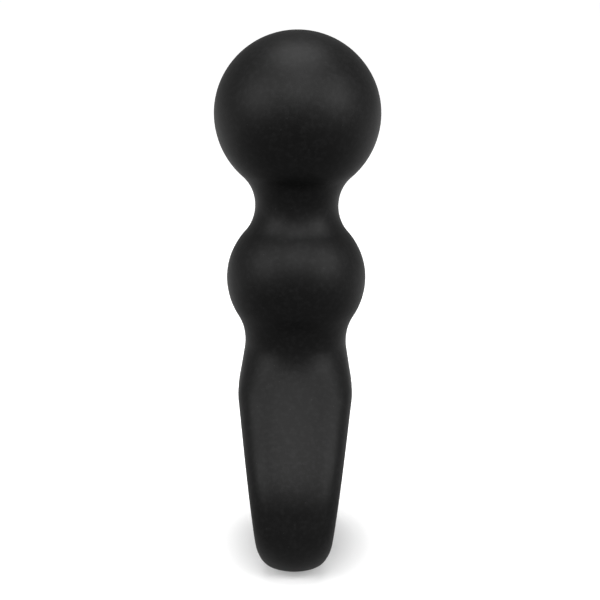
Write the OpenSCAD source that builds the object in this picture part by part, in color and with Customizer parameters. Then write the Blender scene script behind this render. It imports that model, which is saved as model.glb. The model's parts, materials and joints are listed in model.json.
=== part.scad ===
// Cordless hand massager: a silicone skin over a two-part rigid core. The top ball holds an
// eccentric-weight motor, the grip holds the cell, the board, the button and the charging contacts.
// Millimetres, +Z up, origin at the middle of the foot. The grip runs long in Y, and the button is at +Y.

/* [Balls and necks] */
// Radius of the top ball
head_r = 22; // [21:0.5:27]
// Radius of the lower ball
bead_r = 18.4; // [17:0.2:23]
// Radius of the neck between the two balls
neck_r = 11; // [10:0.5:13]
// Radius of the waist under the lower ball
waist_r = 13.4; // [12:0.2:16]
// Height of the waist above the foot
waist_z = 58.6; // [54:0.2:74]
// Fillet radius of the neck
neck_fillet = 10.75; // [9:0.25:14]
// Fillet radius of the waist
waist_fillet = 13; // [11:0.5:16]

/* [Grip] */
// Height of the widest point of the grip
shoulder_z = 45.8; // [40:0.2:50]
// How much further out each side of the grip is at the shoulder than at the foot
shoulder_out = 5.1; // [4:0.1:7]
// Outward slope from the waist down to the shoulder
waist_slope = 0.16; // [0.12:0.01:0.2]
// Rounding where the shoulder turns
shoulder_round = 0.5; // [0.2:0.1:3]
// How much each side of the grip tapers in from the cell down to where the foot starts to round
foot_tuck = 1.7; // [1.2:0.1:2.5]
// Height at which the sides of the foot start to round
foot_side_z = 9.8; // [8:0.2:12]
// How far each side of the foot is drawn in at the ground
foot_side_in = 5; // [4:0.1:6]
// How far the grip spreads out past the waist, front and back
spread = 16.5; // [14:0.5:20]
// Height at which the spread is complete
spread_z = 19; // [17:1:23]
// Extra depth for each millimetre below the waist
flare = 0.08; // [0.05:0.01:0.12]
// Height at which the ends of the foot start to round
foot_end_z = 15; // [13:0.5:18]
// How far each end of the foot is drawn in at the ground
foot_end_in = 18; // [15:0.5:20]
// Length of the rounded ends of the grip, as a share of its half width
nose_ratio = 0.85; // [0.75:0.05:1]
// Corner power of the rounded ends: 2 is an ellipse
nose_power = 2.8; // [2.2:0.1:3.2]
// Corner power at the foot
foot_power = 1.7; // [1.6:0.1:2.4]

/* [Skin and core] */
// Thickness of the silicone skin
skin_t = 2.4; // [2:0.1:3]
// Wall of the rigid core
wall_t = 1.6; // [1.2:0.1:2]

/* [Motor] */
// Outer radius of the motor can
can_r = 8; // [6.5:0.1:9.6]
// Length of the motor can
can_len = 18.5; // [15:0.5:20]
// Wall of the motor can
can_t = 0.8; // [0.6:0.1:1]
// Radius of the motor shaft
shaft_r = 1; // [0.8:0.1:1.25]
// Radius of the eccentric weight
weight_r = 8.8; // [7:0.1:9]
// Height of the eccentric weight
weight_h = 7; // [5:0.5:7.5]
// Wall of the rubber boot around the can
boot_t = 1.6; // [1.2:0.1:2]
// Thickness of the magnets
magnet_t = 1.6; // [1.2:0.1:1.8]
// Gap between the magnets and the armature
air_gap = 0.4; // [0.3:0.05:0.5]

/* [Battery] */
// Radius of the cell
cell_r = 7.1; // [5.9:0.1:8.5]
// Length of the cell
cell_len = 43; // [35:0.5:44]
// Room between the cell and the core at each side
cell_room = 0.8; // [0.7:0.1:1.5]

/* [Board and switch] */
// Height of the circuit board
board_h = 20; // [16:0.5:22]
// Thickness of the circuit board
board_t = 1.2; // [0.8:0.1:1.6]
// Side of the square switch body
switch_w = 6; // [4.5:0.1:6.2]
// Depth of the switch body
switch_d = 3.4; // [3:0.1:4]
// Radius of the switch stem
stem_r = 1.7; // [1.2:0.1:2]

/* [Button] */
// Radius of the power button
button_r = 4; // [3.4:0.1:4.6]
// Travel of the power button
button_travel = 0.5; // [0.3:0.05:0.6]
// Height of the button's axis
button_z = 16.5; // [15:0.5:19]
// Wall of the light ring around the button
ring_t = 0.9; // [0.7:0.1:1.2]

/* [Charging] */
// Radius of the charging contacts
pad_r = 1.5; // [1:0.1:1.8]
// Distance between the two charging contacts
pad_spacing = 8; // [6.5:0.5:10]
// Radius of the magnets that hold the charger
hold_magnet_r = 2.4; // [1.8:0.1:2.5]

/* [Screws and leads] */
// Radius of the screws' thread
screw_r = 1; // [0.8:0.1:1.2]
// Length of the screws under the head
screw_len = 9.5; // [8:0.5:10]
// Radius of the screw heads
screw_head_r = 1.9; // [1.5:0.1:2]
// Radius of the insulated leads
lead_r = 0.5; // [0.4:0.05:0.6]

/* [Hidden] */

function smooth(v) = let (t = min(1, max(0, v))) t * t * (3 - 2 * t);
function superellipse(v, p) = sign(v) * pow(abs(v), 2 / p);
function blend_min(a, b, k) = let (h = min(1, max(0, 0.5 + 0.5 * (b - a) / k)))
    b * (1 - h) + a * h - k * h * (1 - h);
function round_in(z, edge, draw) = let (t = min(1, max(0, (edge - z) / edge))) draw * (1 - sqrt(1 - t * t));

core_in = skin_t + wall_t;

// The grip is as wide as the cell inside it needs.
foot_w = 2 * (cell_r + cell_room + core_in - foot_tuck);
shoulder_w = foot_w + 2 * shoulder_out;

// Centres of the balls and of the neck, each tangent to the next along the outline.
neck_arc_r = neck_r + neck_fillet;
waist_arc_r = waist_r + waist_fillet;
bead_z = waist_z + sqrt(pow(bead_r + waist_fillet, 2) - pow(waist_arc_r, 2));
neck_z = bead_z + sqrt(pow(bead_r + neck_fillet, 2) - pow(neck_arc_r, 2));
head_z = neck_z + sqrt(pow(head_r + neck_fillet, 2) - pow(neck_arc_r, 2));
head_turn = atan2(neck_z - head_z, neck_arc_r);
bead_turn = atan2(neck_z - bead_z, neck_arc_r);
waist_turn = atan2(waist_z - bead_z, waist_arc_r);

function arc(centre, r, from, to, steps, first = 0) =
    [for (k = [first : steps]) let (g = from + (to - from) * k / steps)
        [centre[0] + r * cos(g), centre[1] + r * sin(g)]];

// The turned part of the outline, from the top of the head to the waist, drawn in by inset.
crown_turn = 86;
function turned_outline(inset, steps) = concat(
    arc([0, head_z], head_r - inset, crown_turn, head_turn, 3 * steps),
    arc([neck_arc_r, neck_z], neck_fillet + inset, 180 + head_turn, 180 + bead_turn, steps + 1, 1),
    arc([0, bead_z], bead_r - inset, bead_turn, waist_turn, 2 * steps, 1),
    arc([waist_arc_r, waist_z], waist_fillet + inset, 180 + waist_turn, 180, ceil(steps / 2), 1));

// Half width and half depth of the grip at height z, on the outside of the skin.
side_turn = atan(waist_slope);
taper = shoulder_out / (shoulder_z - foot_side_z);
function under_waist(d) = d < waist_fillet * sin(side_turn)
    ? waist_arc_r - sqrt(pow(waist_fillet, 2) - d * d)
    : waist_r + waist_fillet * (1 - cos(side_turn)) + (d - waist_fillet * sin(side_turn)) * waist_slope;
function half_width(z, inset = 0) =
    blend_min(under_waist(waist_z - z), shoulder_w / 2 - (shoulder_z - z) * taper, shoulder_round) - inset
    - round_in(z - inset, foot_side_z - inset, foot_side_in - inset);
function half_depth(z, inset = 0) = waist_r + spread * smooth((waist_z - z) / (waist_z - spread_z))
    + flare * (waist_z - z) * smooth((waist_z - z) / foot_end_z) - inset
    - round_in(z - inset, foot_end_z - inset, foot_end_in - inset);
function squareness(z) = smooth((waist_z - z) / (waist_z - shoulder_z));
function nose_len(z, inset = 0) =
    min(half_depth(z, inset), half_width(z, inset) * (1 + (nose_ratio - 1) * squareness(z)));
function corner_power(z) = let (p = 2 + (nose_power - 2) * squareness(z))
    p + (foot_power - p) * smooth((foot_end_z - z) / foot_end_z);

function turned_ring(point, sides, start) =
    [for (k = [0 : sides - 1]) let (t = start + 360 * k / sides)
        [point[0] * cos(t), point[0] * sin(t), point[1]]];
function grip_ring(z, inset, sides, start) =
    let (e = nose_len(z, inset), straight = half_depth(z, inset) - e, p = corner_power(z))
    [for (k = [0 : sides - 1]) let (t = start + 360 * k / sides)
        [half_width(z, inset) * superellipse(cos(t), p),
         sign(sin(t)) * straight + e * superellipse(sin(t), p), z]];

// The whole outline drawn in by inset, as one closed solid of rings from the top down.
module body_form(inset, sides, steps, start) {
    upper = [for (p = turned_outline(inset, steps)) turned_ring(p, sides, start)];
    grip_steps = 3 * steps;
    grip = [for (k = [1 : grip_steps]) grip_ring(waist_z + (foot_end_z - waist_z) * k / grip_steps, inset, sides, start)];
    foot_steps = steps + 1;
    foot = [for (k = [1 : foot_steps])
        grip_ring(inset + (foot_end_z - inset) * (1 - sin(90 * k / foot_steps)), inset, sides, start)];
    rings = concat(upper, grip, foot);
    last = (len(rings) - 1) * sides;
    polyhedron(
        points = [for (ring = rings) each ring],
        faces = concat(
            [[for (k = [0 : sides - 1]) sides - 1 - k]],
            [for (i = [0 : len(rings) - 2], k = [0 : sides - 1])
                let (n = (k + 1) % sides, a = i * sides + k, b = i * sides + n, c = a + sides, d = b + sides)
                each [[a, b, d], [a, d, c]]],
            [[for (k = [0 : sides - 1]) last + k]]));
}

module outer_form() body_form(0, 40, 4, 0);
core_sides = 24;
module core_form() body_form(skin_t, core_sides, 3, 180 / core_sides);
module core_space() body_form(core_in, core_sides, 3, 180 / core_sides);

// A round bar along Y, and one along X, from the first to the second place.
module bar_y(r, from, to, x = 0, z = 0) translate([x, from, z]) rotate([-90, 0, 0]) cylinder(r = r, h = to - from, $fn = 64);
module bar_x(r, from, to, y = 0, z = 0) translate([from, y, z]) rotate([0, 90, 0]) cylinder(r = r, h = to - from, $fn = 48);
module bar_z(r, from, to) translate([0, 0, from]) cylinder(r = r, h = to - from, $fn = 64);
module tube_z(outer, inner, from, to) difference() {
    bar_z(outer, from, to);
    bar_z(inner, from - 1, to + 1);
}
module block(x, y, z) translate([x[0], y[0], z[0]]) cube([x[1] - x[0], y[1] - y[0], z[1] - z[0]]);

running = 0.05;   // radial clearance of a part that slides or turns in its guide
loose = 0.3;      // clearance between parts that move past each other
away = 60;        // further out than any surface

// The cell lies along Y, where the core is just wide enough for it.
cell_z = foot_side_z + foot_tuck / taper;
cell_top = cell_z + cell_r;
cell_front = -(half_depth(cell_z) - nose_len(cell_z)) - 1.8;
cell_back = cell_front + cell_len;
tab_t = 0.2;

// Button stack, from the outside in. All of it is on one axis along Y.
ring_face = half_depth(foot_end_z - 1);
button_face = ring_face - 0.3;
button_gap = 0.1;
ring_r = button_r + button_gap + ring_t;
ring_neck_r = ring_r - 0.4;
core_back = half_depth(button_z) - skin_t;
ring_step = core_back - 0.6;
ring_foot = half_depth(button_z) - core_in - 0.2;
flange_t = 0.9;
flange_r = ring_neck_r - 0.2;
flange_back = ring_foot - loose - flange_t;
nub_r = 1.4;
nub_len = 1;
nub_back = flange_back - nub_len;
stem_front = nub_back - 0.2;
stem_len = 2.2;
switch_front = stem_front - 0.8;
board_back = switch_front - switch_d;
board_front = board_back - board_t;
board_bottom = 12.8;
board_top = board_bottom + board_h;
board_half = half_width(board_bottom, core_in) - 0.3;

// Charging contacts and their small board over the foot.
charge_z = core_in + 3;
charge_board_t = 1;
charge_half = 4.8;
charge_half_len = pad_spacing / 2 + 2 * hold_magnet_r + 4;
pad_floor = 0.15;
hold_magnet_t = 1.8;

// Motor, measured from the middle of the top ball.
can_top = head_z + 6;
can_bottom = can_top - can_len;
bell_plug = 1.5;
bell_t = 2;
bell_bottom = can_bottom - bell_t;
bush_r = 2 * shaft_r;
bush_top = can_top + 0.8;
weight_z = can_top + 1.5;
shaft_top = weight_z + weight_h;
armature_r = can_r - can_t - magnet_t - air_gap;
armature_bottom = can_bottom + 5.5;
armature_top = can_top - 4;
commutator_r = 2.2;
commutator_bottom = can_bottom + bell_plug + 0.5;
commutator_top = armature_bottom - 0.8;
cradle_gap = 0.4;
cradle_bottom = head_z - 8;
cradle_top = head_z + 1;

// Screws lie along X. Each place is [y, z].
boss_r = screw_head_r + 1.1;
mid_boss_z = cell_top + boss_r + 7;
foot_screw_y = 17.5;
screw_places = [
    for (side = [-1, 1]) each [
        [side * foot_screw_y, board_bottom - 0.5 - boss_r],
        [side * 10.5, mid_boss_z],
        [side * 9, bead_z],
    ]
];
seat_x = screw_len / 2 - 0.25;
screw_tip = seat_x - screw_len;
screw_head_h = 1.2;

module skin_openings() {
    bar_y(ring_r, core_back - 8, away, z = button_z);
    for (side = [-1, 1]) translate([0, side * pad_spacing / 2, 0]) bar_z(pad_r, -1, skin_t + 2);
}

module core_openings() {
    bar_y(ring_neck_r, ring_foot - 6, away, z = button_z);
    bar_y(ring_r, ring_step, away, z = button_z);
    for (side = [-1, 1]) translate([0, side * pad_spacing / 2, 0]) bar_z(pad_r, 0, charge_z);
}

module silicone_skin() color("#141414") difference() {
    outer_form();
    core_form();
    skin_openings();
}

// One half of the core: side is -1 at -X and 1 at +X.
module core_half(side) intersection() {
    difference() {
        core_form();
        difference() {
            core_space();
            for (p = screw_places) bar_x(boss_r, -away, away, p[0], p[1]);
        }
        core_openings();
        for (p = screw_places)
            if (side < 0) bar_x(screw_r, screw_tip - 0.5, 1, p[0], p[1]);
            else {
                bar_x(screw_r + 0.15, -1, seat_x + 1, p[0], p[1]);
                bar_x(screw_head_r + 0.2, seat_x, away, p[0], p[1]);
            }
    }
    block(side < 0 ? [-away, 0] : [0, away], [-away, away], [-1, head_z + away]);
}

module left_core_shell() color("#d8d8d2") core_half(-1);
module right_core_shell() color("#cfcfc8") core_half(1);

module core_screws() color("silver") for (p = screw_places) {
    bar_x(screw_r, screw_tip, seat_x, p[0], p[1]);
    difference() {
        bar_x(screw_head_r, seat_x, seat_x + screw_head_h, p[0], p[1]);
        translate([0, p[0], p[1]]) for (turn = [0, 90]) rotate([turn, 0, 0])
            block([seat_x + 0.6, seat_x + 2], [-1.1, 1.1], [-0.2, 0.2]);
    }
}

module motor_cradle() color("#33373b") difference() {
    intersection() {
        translate([0, 0, head_z]) sphere(r = head_r - core_in - cradle_gap, $fn = 96);
        bar_z(head_r, cradle_bottom, cradle_top);
    }
    bar_z(can_r + boot_t, cradle_bottom - 1, cradle_top + 1);
    for (k = [0 : 7]) rotate([0, 0, 45 * k + 22.5])
        translate([(can_r + boot_t + head_r - core_in) / 2 - 0.6, 0, 0]) bar_z(2.3, cradle_bottom - 1, cradle_top + 1);
}

module motor_boot() color("#222222") tube_z(can_r + boot_t, can_r, can_bottom + 1.5, can_top - 3);

module motor_can() color("#b9bcc0") difference() {
    bar_z(can_r, can_bottom, can_top);
    bar_z(can_r - can_t, can_bottom - 1, can_top - can_t);
    bar_z(bush_r, can_bottom, can_top + 1);
}

module motor_magnets() color("#4a4a4c") difference() {
    tube_z(can_r - can_t, can_r - can_t - magnet_t, can_bottom + 3.5, can_top - 2.5);
    block([-1.6, 1.6], [-can_r, can_r], [can_bottom, can_top]);
}

module motor_end_bell() color("#e8e4d8") difference() {
    union() {
        bar_z(can_r - can_t, bell_bottom, can_bottom + bell_plug);
        bar_z(can_r, bell_bottom, can_bottom);
    }
    bar_z(bush_r, bell_bottom - 1, can_top);
    for (side = [-1, 1]) block([side * 4.6 - 0.25, side * 4.6 + 0.25], [-1, 1], [bell_bottom - 1, can_top]);
}

module shaft_bushes() color("#b0763a") {
    tube_z(bush_r, shaft_r + running, bell_bottom, can_bottom + bell_plug);
    tube_z(bush_r, shaft_r + running, can_top - can_t - 1.2, bush_top);
}

// Spring strips that press on the commutator at +X and -X.
brush_x = commutator_r + 0.1;
module motor_brushes() color("#c48a4a") for (side = [0, 180]) rotate([0, 0, side])
    block([brush_x, brush_x + 0.4], [-0.9, 0.9], [can_bottom + bell_plug, commutator_top - 0.3]);

module motor_terminals() color("#d0b060") for (side = [-1, 1])
    block([side * 4.6 - 0.25, side * 4.6 + 0.25], [-1, 1], [bell_bottom - 2.6, can_bottom + bell_plug]);

module motor_shaft() color("#d9dadc") bar_z(shaft_r, bell_bottom + 0.4, shaft_top + 0.6);

pole_turns = [90, 210, 330];
hub_r = 2.3;
shoe_t = 1;
module armature_core() color("#8d8f92") difference() {
    intersection() {
        union() {
            bar_z(hub_r, armature_bottom, armature_top);
            for (turn = pole_turns) rotate([0, 0, turn])
                block([0, armature_r], [-0.7, 0.7], [armature_bottom, armature_top]);
            difference() {
                bar_z(armature_r, armature_bottom, armature_top);
                bar_z(armature_r - shoe_t, armature_bottom - 1, armature_top + 1);
                for (turn = pole_turns) rotate([0, 0, turn + 60])
                    block([0, can_r], [-0.6, 0.6], [armature_bottom - 1, armature_top + 1]);
            }
        }
        bar_z(armature_r, armature_bottom, armature_top);
    }
    bar_z(shaft_r, armature_bottom - 1, armature_top + 1);
}

coil_from = hub_r + 0.15;
coil_half = 1.5;
coil_to = sqrt(pow(armature_r - shoe_t, 2) - coil_half * coil_half) - 0.1;
module armature_windings() color("#a8552a") for (turn = pole_turns) rotate([0, 0, turn]) difference() {
    block([coil_from, coil_to], [-coil_half, coil_half], [armature_bottom - 0.7, armature_top + 0.7]);
    block([0, can_r], [-0.7, 0.7], [armature_bottom, armature_top]);
}

module commutator() color("#c8803c") difference() {
    bar_z(commutator_r, commutator_bottom, commutator_top);
    bar_z(shaft_r, commutator_bottom - 1, commutator_top + 1);
    for (turn = pole_turns) rotate([0, 0, turn])
        block([commutator_r - 0.5, can_r], [-0.15, 0.15], [commutator_bottom - 1, commutator_top + 1]);
}

module eccentric_weight() color("#6f7276") difference() {
    union() {
        intersection() {
            bar_z(weight_r, weight_z, shaft_top);
            block([-weight_r, weight_r], [0, weight_r], [weight_z, shaft_top]);
        }
        bar_z(2.6 * shaft_r, weight_z, shaft_top);
    }
    bar_z(shaft_r, weight_z - 1, shaft_top + 1);
}

module battery_cell() color("#2f6f9f") {
    bar_y(cell_r, cell_front, cell_back - 1, z = cell_z);
    bar_y(cell_r - 4.2, cell_back - 1, cell_back, z = cell_z);
}

module battery_tabs() color("#c9ccd0") {
    block([-2.5, 2.5], [cell_front - tab_t, cell_front], [cell_z - 2.5, cell_top - 0.5]);
    block([-2.5, 2.5], [cell_back, cell_back + tab_t], [cell_z - 2.5, cell_top - 0.5]);
}

foam_t = 0.6;
module battery_foam() color("#55585c") intersection() {
    difference() {
        bar_y(cell_r + foam_t, -9, 5, z = cell_z);
        bar_y(cell_r + running, -10, 6, z = cell_z);
    }
    block([-away, away], [-away, away], [cell_z + 1, cell_z + away]);
}

saddle_half = 5.4;
saddle_t = 3;
saddle_foot = charge_z + charge_board_t + 0.6;
saddle_front = max(cell_front + 10.5, boss_r + 0.5 - foot_screw_y);
module battery_saddles() color("#dcdcd6") for (y = [saddle_front, cell_back - 11]) difference() {
    block([-saddle_half, saddle_half], [y, y + saddle_t], [saddle_foot, cell_z - 4.6]);
    bar_y(cell_r + running, y - 1, y + saddle_t + 1, z = cell_z);
    block([-3.8, 3.8], [y - 1, y + saddle_t + 1], [saddle_foot - 1, board_bottom - 0.6]);
}

module circuit_board() color("#1f6b3a") difference() {
    block([-board_half, board_half], [board_front, board_back], [board_bottom, board_top]);
    for (side = [-1, 1]) bar_y(0.6, board_front - 1, board_back + 1, side * (board_half - 1.6), board_top - 1.6);
}

module board_chips() color("#26282b") {
    for (part = [[-3, 1.6, 5.4, 2.6], [2.6, 1.2, 3, 2], [0, 0.8, 4.4, 1.4]])
        block([part[0] - part[3] / 2, part[0] + part[3] / 2], [board_back, board_back + 0.9],
              [board_top - part[2] - 1, board_top - part[2] + part[1]]);
}

module status_led() color("#f4f6f4")
    block([-1, 1], [board_back, board_back + 1.1], [button_z + switch_w / 2 + 0.5, button_z + switch_w / 2 + 1.7]);

module tact_switch() color("#2a2c2f") difference() {
    block([-switch_w / 2, switch_w / 2], [board_back, switch_front], [button_z - switch_w / 2, button_z + switch_w / 2]);
    bar_y(stem_r + running, stem_front - stem_len - button_travel - 0.2, switch_front + 1, z = button_z);
}

module switch_stem() color("#e9e9e6") bar_y(stem_r, stem_front - stem_len, stem_front, z = button_z);

dish_r = 23;
dish_depth = 0.25;
// The cap slides in the light ring. Its flange stops behind the ring, and its nub meets the stem.
module power_button() color("#1b1b1b") difference() {
    union() {
        bar_y(button_r, flange_back, button_face, z = button_z);
        bar_y(flange_r, flange_back, flange_back + flange_t, z = button_z);
        bar_y(nub_r, nub_back, flange_back, z = button_z);
    }
    translate([0, button_face + dish_r - dish_depth, button_z]) sphere(r = dish_r, $fn = 96);
}

module light_ring() color("#f2f4f2") difference() {
    union() {
        bar_y(ring_r, ring_step, ring_face, z = button_z);
        bar_y(ring_neck_r, ring_foot, ring_step, z = button_z);
    }
    bar_y(button_r + button_gap, ring_foot - 1, away, z = button_z);
}

module charge_pads() color("#d8b04a") for (side = [-1, 1]) translate([0, side * pad_spacing / 2, 0])
    bar_z(pad_r, pad_floor, charge_z);

module charge_magnets() color("#b4b6ba") for (side = [-1, 1])
    translate([0, side * (pad_spacing / 2 + pad_r + 1 + hold_magnet_r), 0])
        bar_z(hold_magnet_r, charge_z - hold_magnet_t, charge_z);

module charge_board() color("#1f6b3a")
    block([-charge_half, charge_half], [-charge_half_len, charge_half_len], [charge_z, charge_z + charge_board_t]);

// A lead along a route: three short steps on a smooth curve between each two points.
lead_sides = 8;
function spline(a, b, c, d, t) = 0.5 * ((2 * b) + (c - a) * t + (2 * a - 5 * b + 4 * c - d) * t * t
    + (3 * b - a - 3 * c + d) * t * t * t);
function smooth_route(r) = let (n = len(r)) concat(
    [for (i = [0 : n - 2], s = [0 : 2])
        spline(r[max(i - 1, 0)], r[i], r[i + 1], r[min(i + 2, n - 1)], s / 3)], [r[n - 1]]);
function unit(v) = v / norm(v);
module lead(route) {
    path = smooth_route(route);
    n = len(path);
    rings = [for (i = [0 : n - 1])
        let (dir = unit(path[min(i + 1, n - 1)] - path[max(i - 1, 0)]),
             u = unit(cross(dir, [1, 0, 0])), v = cross(dir, u))
        [for (k = [0 : lead_sides - 1]) let (t = 360 * (k + 0.5) / lead_sides)
            path[i] + lead_r * (cos(t) * u + sin(t) * v)]];
    last = (n - 1) * lead_sides;
    polyhedron(
        points = [for (ring = rings) each ring],
        faces = concat(
            [[for (k = [0 : lead_sides - 1]) lead_sides - 1 - k]],
            [for (i = [0 : n - 2], k = [0 : lead_sides - 1])
                let (m = (k + 1) % lead_sides, a = i * lead_sides + k, b = i * lead_sides + m)
                each [[a, b, b + lead_sides], [a, b + lead_sides, a + lead_sides]]],
            [[for (k = [0 : lead_sides - 1]) last + k]]));
}

lead_on_board = board_front - lead_r - 0.1;
module motor_leads() color("#c8372d") for (side = [-1, 1])
    lead([
        [side * 1.2, lead_on_board, board_top - 3], [side * 1.2, lead_on_board - 0.3, board_top + 1],
        [side * 1.2, 15.5, mid_boss_z + 1], [side * 1.2, 8, waist_z - 8], [side * 1.2, 4.5, waist_z],
        [side * 1.2, 3, bead_z], [side * 1.2, 2, neck_z - 6], [side * 1.6, 1, neck_z + 1],
        [side * 4.6, 0.2, bell_bottom - 4.6], [side * 4.6, 0, bell_bottom - 2.6],
    ]);

module battery_leads() color("#1d1d1f")
    lead([
        [0, cell_front - tab_t - lead_r, cell_top - 2], [0, cell_front - tab_t - lead_r, cell_top + 0.4],
        [0, cell_front + 4, cell_top + foam_t + 1], [0, -4, cell_top + foam_t + 1.2],
        [0, 8, cell_top + foam_t + 1], [0, lead_on_board - 1.2, cell_top + 1.2], [0, lead_on_board, cell_top - 1],
    ]);

charge_lead_z = charge_z + charge_board_t + lead_r;
module charge_leads() color("#2456a8") for (side = [-1, 1])
    lead([
        [side * 2.6, 5, charge_lead_z], [side * 2.6, 9.5, charge_lead_z + 1.1],
        [side * 2.6, 13, board_bottom - 0.4], [side * 2.6, 17.5, board_bottom + 0.6],
        [side * 2.6, lead_on_board, board_bottom + 2.8],
    ]);

silicone_skin();
left_core_shell();
right_core_shell();
core_screws();
motor_cradle();
motor_boot();
motor_can();
motor_magnets();
motor_end_bell();
shaft_bushes();
motor_brushes();
motor_terminals();
motor_shaft();
armature_core();
armature_windings();
commutator();
eccentric_weight();
battery_cell();
battery_tabs();
battery_foam();
battery_saddles();
circuit_board();
board_chips();
status_led();
tact_switch();
switch_stem();
power_button();
light_ring();
charge_pads();
charge_magnets();
charge_board();
motor_leads();
battery_leads();
charge_leads();
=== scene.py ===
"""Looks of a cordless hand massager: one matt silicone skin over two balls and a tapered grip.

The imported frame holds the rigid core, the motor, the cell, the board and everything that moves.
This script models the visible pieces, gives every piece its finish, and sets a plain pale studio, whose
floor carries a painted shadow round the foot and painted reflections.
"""

import json
import logging
import math
from dataclasses import dataclass, field
from enum import Enum

import bpy
from mathutils import Matrix, Vector


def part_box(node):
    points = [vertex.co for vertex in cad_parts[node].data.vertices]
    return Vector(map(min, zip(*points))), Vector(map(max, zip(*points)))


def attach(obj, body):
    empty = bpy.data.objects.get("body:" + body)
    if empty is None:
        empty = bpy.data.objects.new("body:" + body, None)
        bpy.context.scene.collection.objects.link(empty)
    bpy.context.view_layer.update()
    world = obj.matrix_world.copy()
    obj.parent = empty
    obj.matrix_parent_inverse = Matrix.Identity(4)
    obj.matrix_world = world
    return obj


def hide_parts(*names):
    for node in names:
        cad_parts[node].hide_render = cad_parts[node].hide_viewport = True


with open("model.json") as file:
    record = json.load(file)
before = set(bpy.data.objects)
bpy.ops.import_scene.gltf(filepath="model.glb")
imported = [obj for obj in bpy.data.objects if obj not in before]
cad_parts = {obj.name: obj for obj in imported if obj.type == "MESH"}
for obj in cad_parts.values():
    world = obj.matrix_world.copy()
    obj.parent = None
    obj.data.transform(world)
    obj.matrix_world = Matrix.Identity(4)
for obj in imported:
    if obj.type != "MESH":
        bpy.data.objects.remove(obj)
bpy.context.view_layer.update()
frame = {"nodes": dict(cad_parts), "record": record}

log = logging.getLogger("massager")
MM = 0.001
Spot = tuple[float, float]
Point = tuple[float, float, float]
Colour = tuple[float, float, float]
BACKWARD = Vector((0, 1, 0))
UP = Vector((0, 0, 1))


# ---------------------------------------------------------------- small maths


def smooth(value: float) -> float:
    """Rises from 0 to 1 as value does, with level ends."""
    t = min(1.0, max(0.0, value))
    return t * t * (3.0 - 2.0 * t)


def blend_min(a: float, b: float, reach: float) -> float:
    """Returns the smaller of a and b, rounded over where they cross.

    Args:
        a: One value.
        b: The other value.
        reach: How near the two are where the rounding starts.

    Returns:
        The smaller value, a little less near the crossing.
    """
    h = min(1.0, max(0.0, 0.5 + 0.5 * (b - a) / reach))
    return b * (1.0 - h) + a * h - reach * h * (1.0 - h)


def round_in(height: float, edge: float, draw: float) -> float:
    """Returns how far an elliptical foot edge is drawn in at a height.

    Args:
        height: Height above the ground.
        edge: Height at which the rounding starts.
        draw: How far in it reaches at the ground.

    Returns:
        The distance drawn in, 0 at and above the edge.
    """
    t = min(1.0, max(0.0, (edge - height) / edge))
    return draw * (1.0 - math.sqrt(1.0 - t * t))


# ---------------------------------------------------------------- node helpers


FLOAT = "NodeSocketFloat"
MIX_FACTOR, MIX_A, MIX_B = 0, 6, 7
MIX_COLOUR = 2
WHITE = (1.0, 1.0, 1.0, 1.0)


class Nodes:
    """A thin hand on one node tree: adds nodes and links them."""

    def __init__(self, tree: bpy.types.NodeTree) -> None:
        """Keeps the tree."""
        self.tree = tree

    def add(self, kind: str, inputs: dict[str | int, object] | None = None,
            **settings: object) -> bpy.types.Node:
        """Adds a node.

        Args:
            kind: Blender's node type, without the word ShaderNode.
            inputs: Values or output sockets for the node's inputs.
            **settings: Attributes of the node, such as operation.

        Returns:
            The new node.
        """
        node = self.tree.nodes.new("ShaderNode" + kind)
        for name, value in settings.items():
            setattr(node, name, value)
        for name, value in (inputs or {}).items():
            if isinstance(value, bpy.types.NodeSocket):
                self.tree.links.new(value, node.inputs[name])
            else:
                node.inputs[name].default_value = value
        return node

    def math(self, operation: str, a: object, b: object = 0.0) -> bpy.types.NodeSocket:
        """Adds a Math node and returns its output."""
        return self.add("Math", {0: a, 1: b}, operation=operation).outputs[0]

    def spread(self, value: object, low: float, high: float, to_low: float,
               to_high: float) -> bpy.types.NodeSocket:
        """Adds a clamped Map Range node.

        Args:
            value: The socket to map.
            low: Input value that gives to_low.
            high: Input value that gives to_high.
            to_low: Output at low.
            to_high: Output at high.

        Returns:
            The mapped output.
        """
        names = {"Value": value, "From Min": low, "From Max": high, "To Min": to_low, "To Max": to_high}
        return self.add("MapRange", names).outputs["Result"]

    def mix(self, factor: object, a: object, b: object) -> bpy.types.NodeSocket:
        """Adds a Mix node for two colours.

        Args:
            factor: Share of b, from 0 to 1.
            a: The first colour.
            b: The second colour.

        Returns:
            The mixed colour.
        """
        node = self.add("Mix", data_type="RGBA")
        for index, value in {MIX_FACTOR: factor, MIX_A: a, MIX_B: b}.items():
            if isinstance(value, bpy.types.NodeSocket):
                self.tree.links.new(value, node.inputs[index])
            else:
                node.inputs[index].default_value = value
        return node.outputs[MIX_COLOUR]

    def link(self, socket: bpy.types.NodeSocket, node: bpy.types.Node, name: str | int) -> None:
        """Links an output to a node's input."""
        self.tree.links.new(socket, node.inputs[name])


@dataclass(frozen=True)
class Group:
    """An unfinished shader node group: its tree, its helper and its two end nodes."""

    tree: bpy.types.NodeTree
    nodes: Nodes
    start: bpy.types.Node
    end: bpy.types.Node


def title(label: str) -> str:
    """Returns the socket name for a keyword."""
    return label.replace("_", " ").capitalize()


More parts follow.
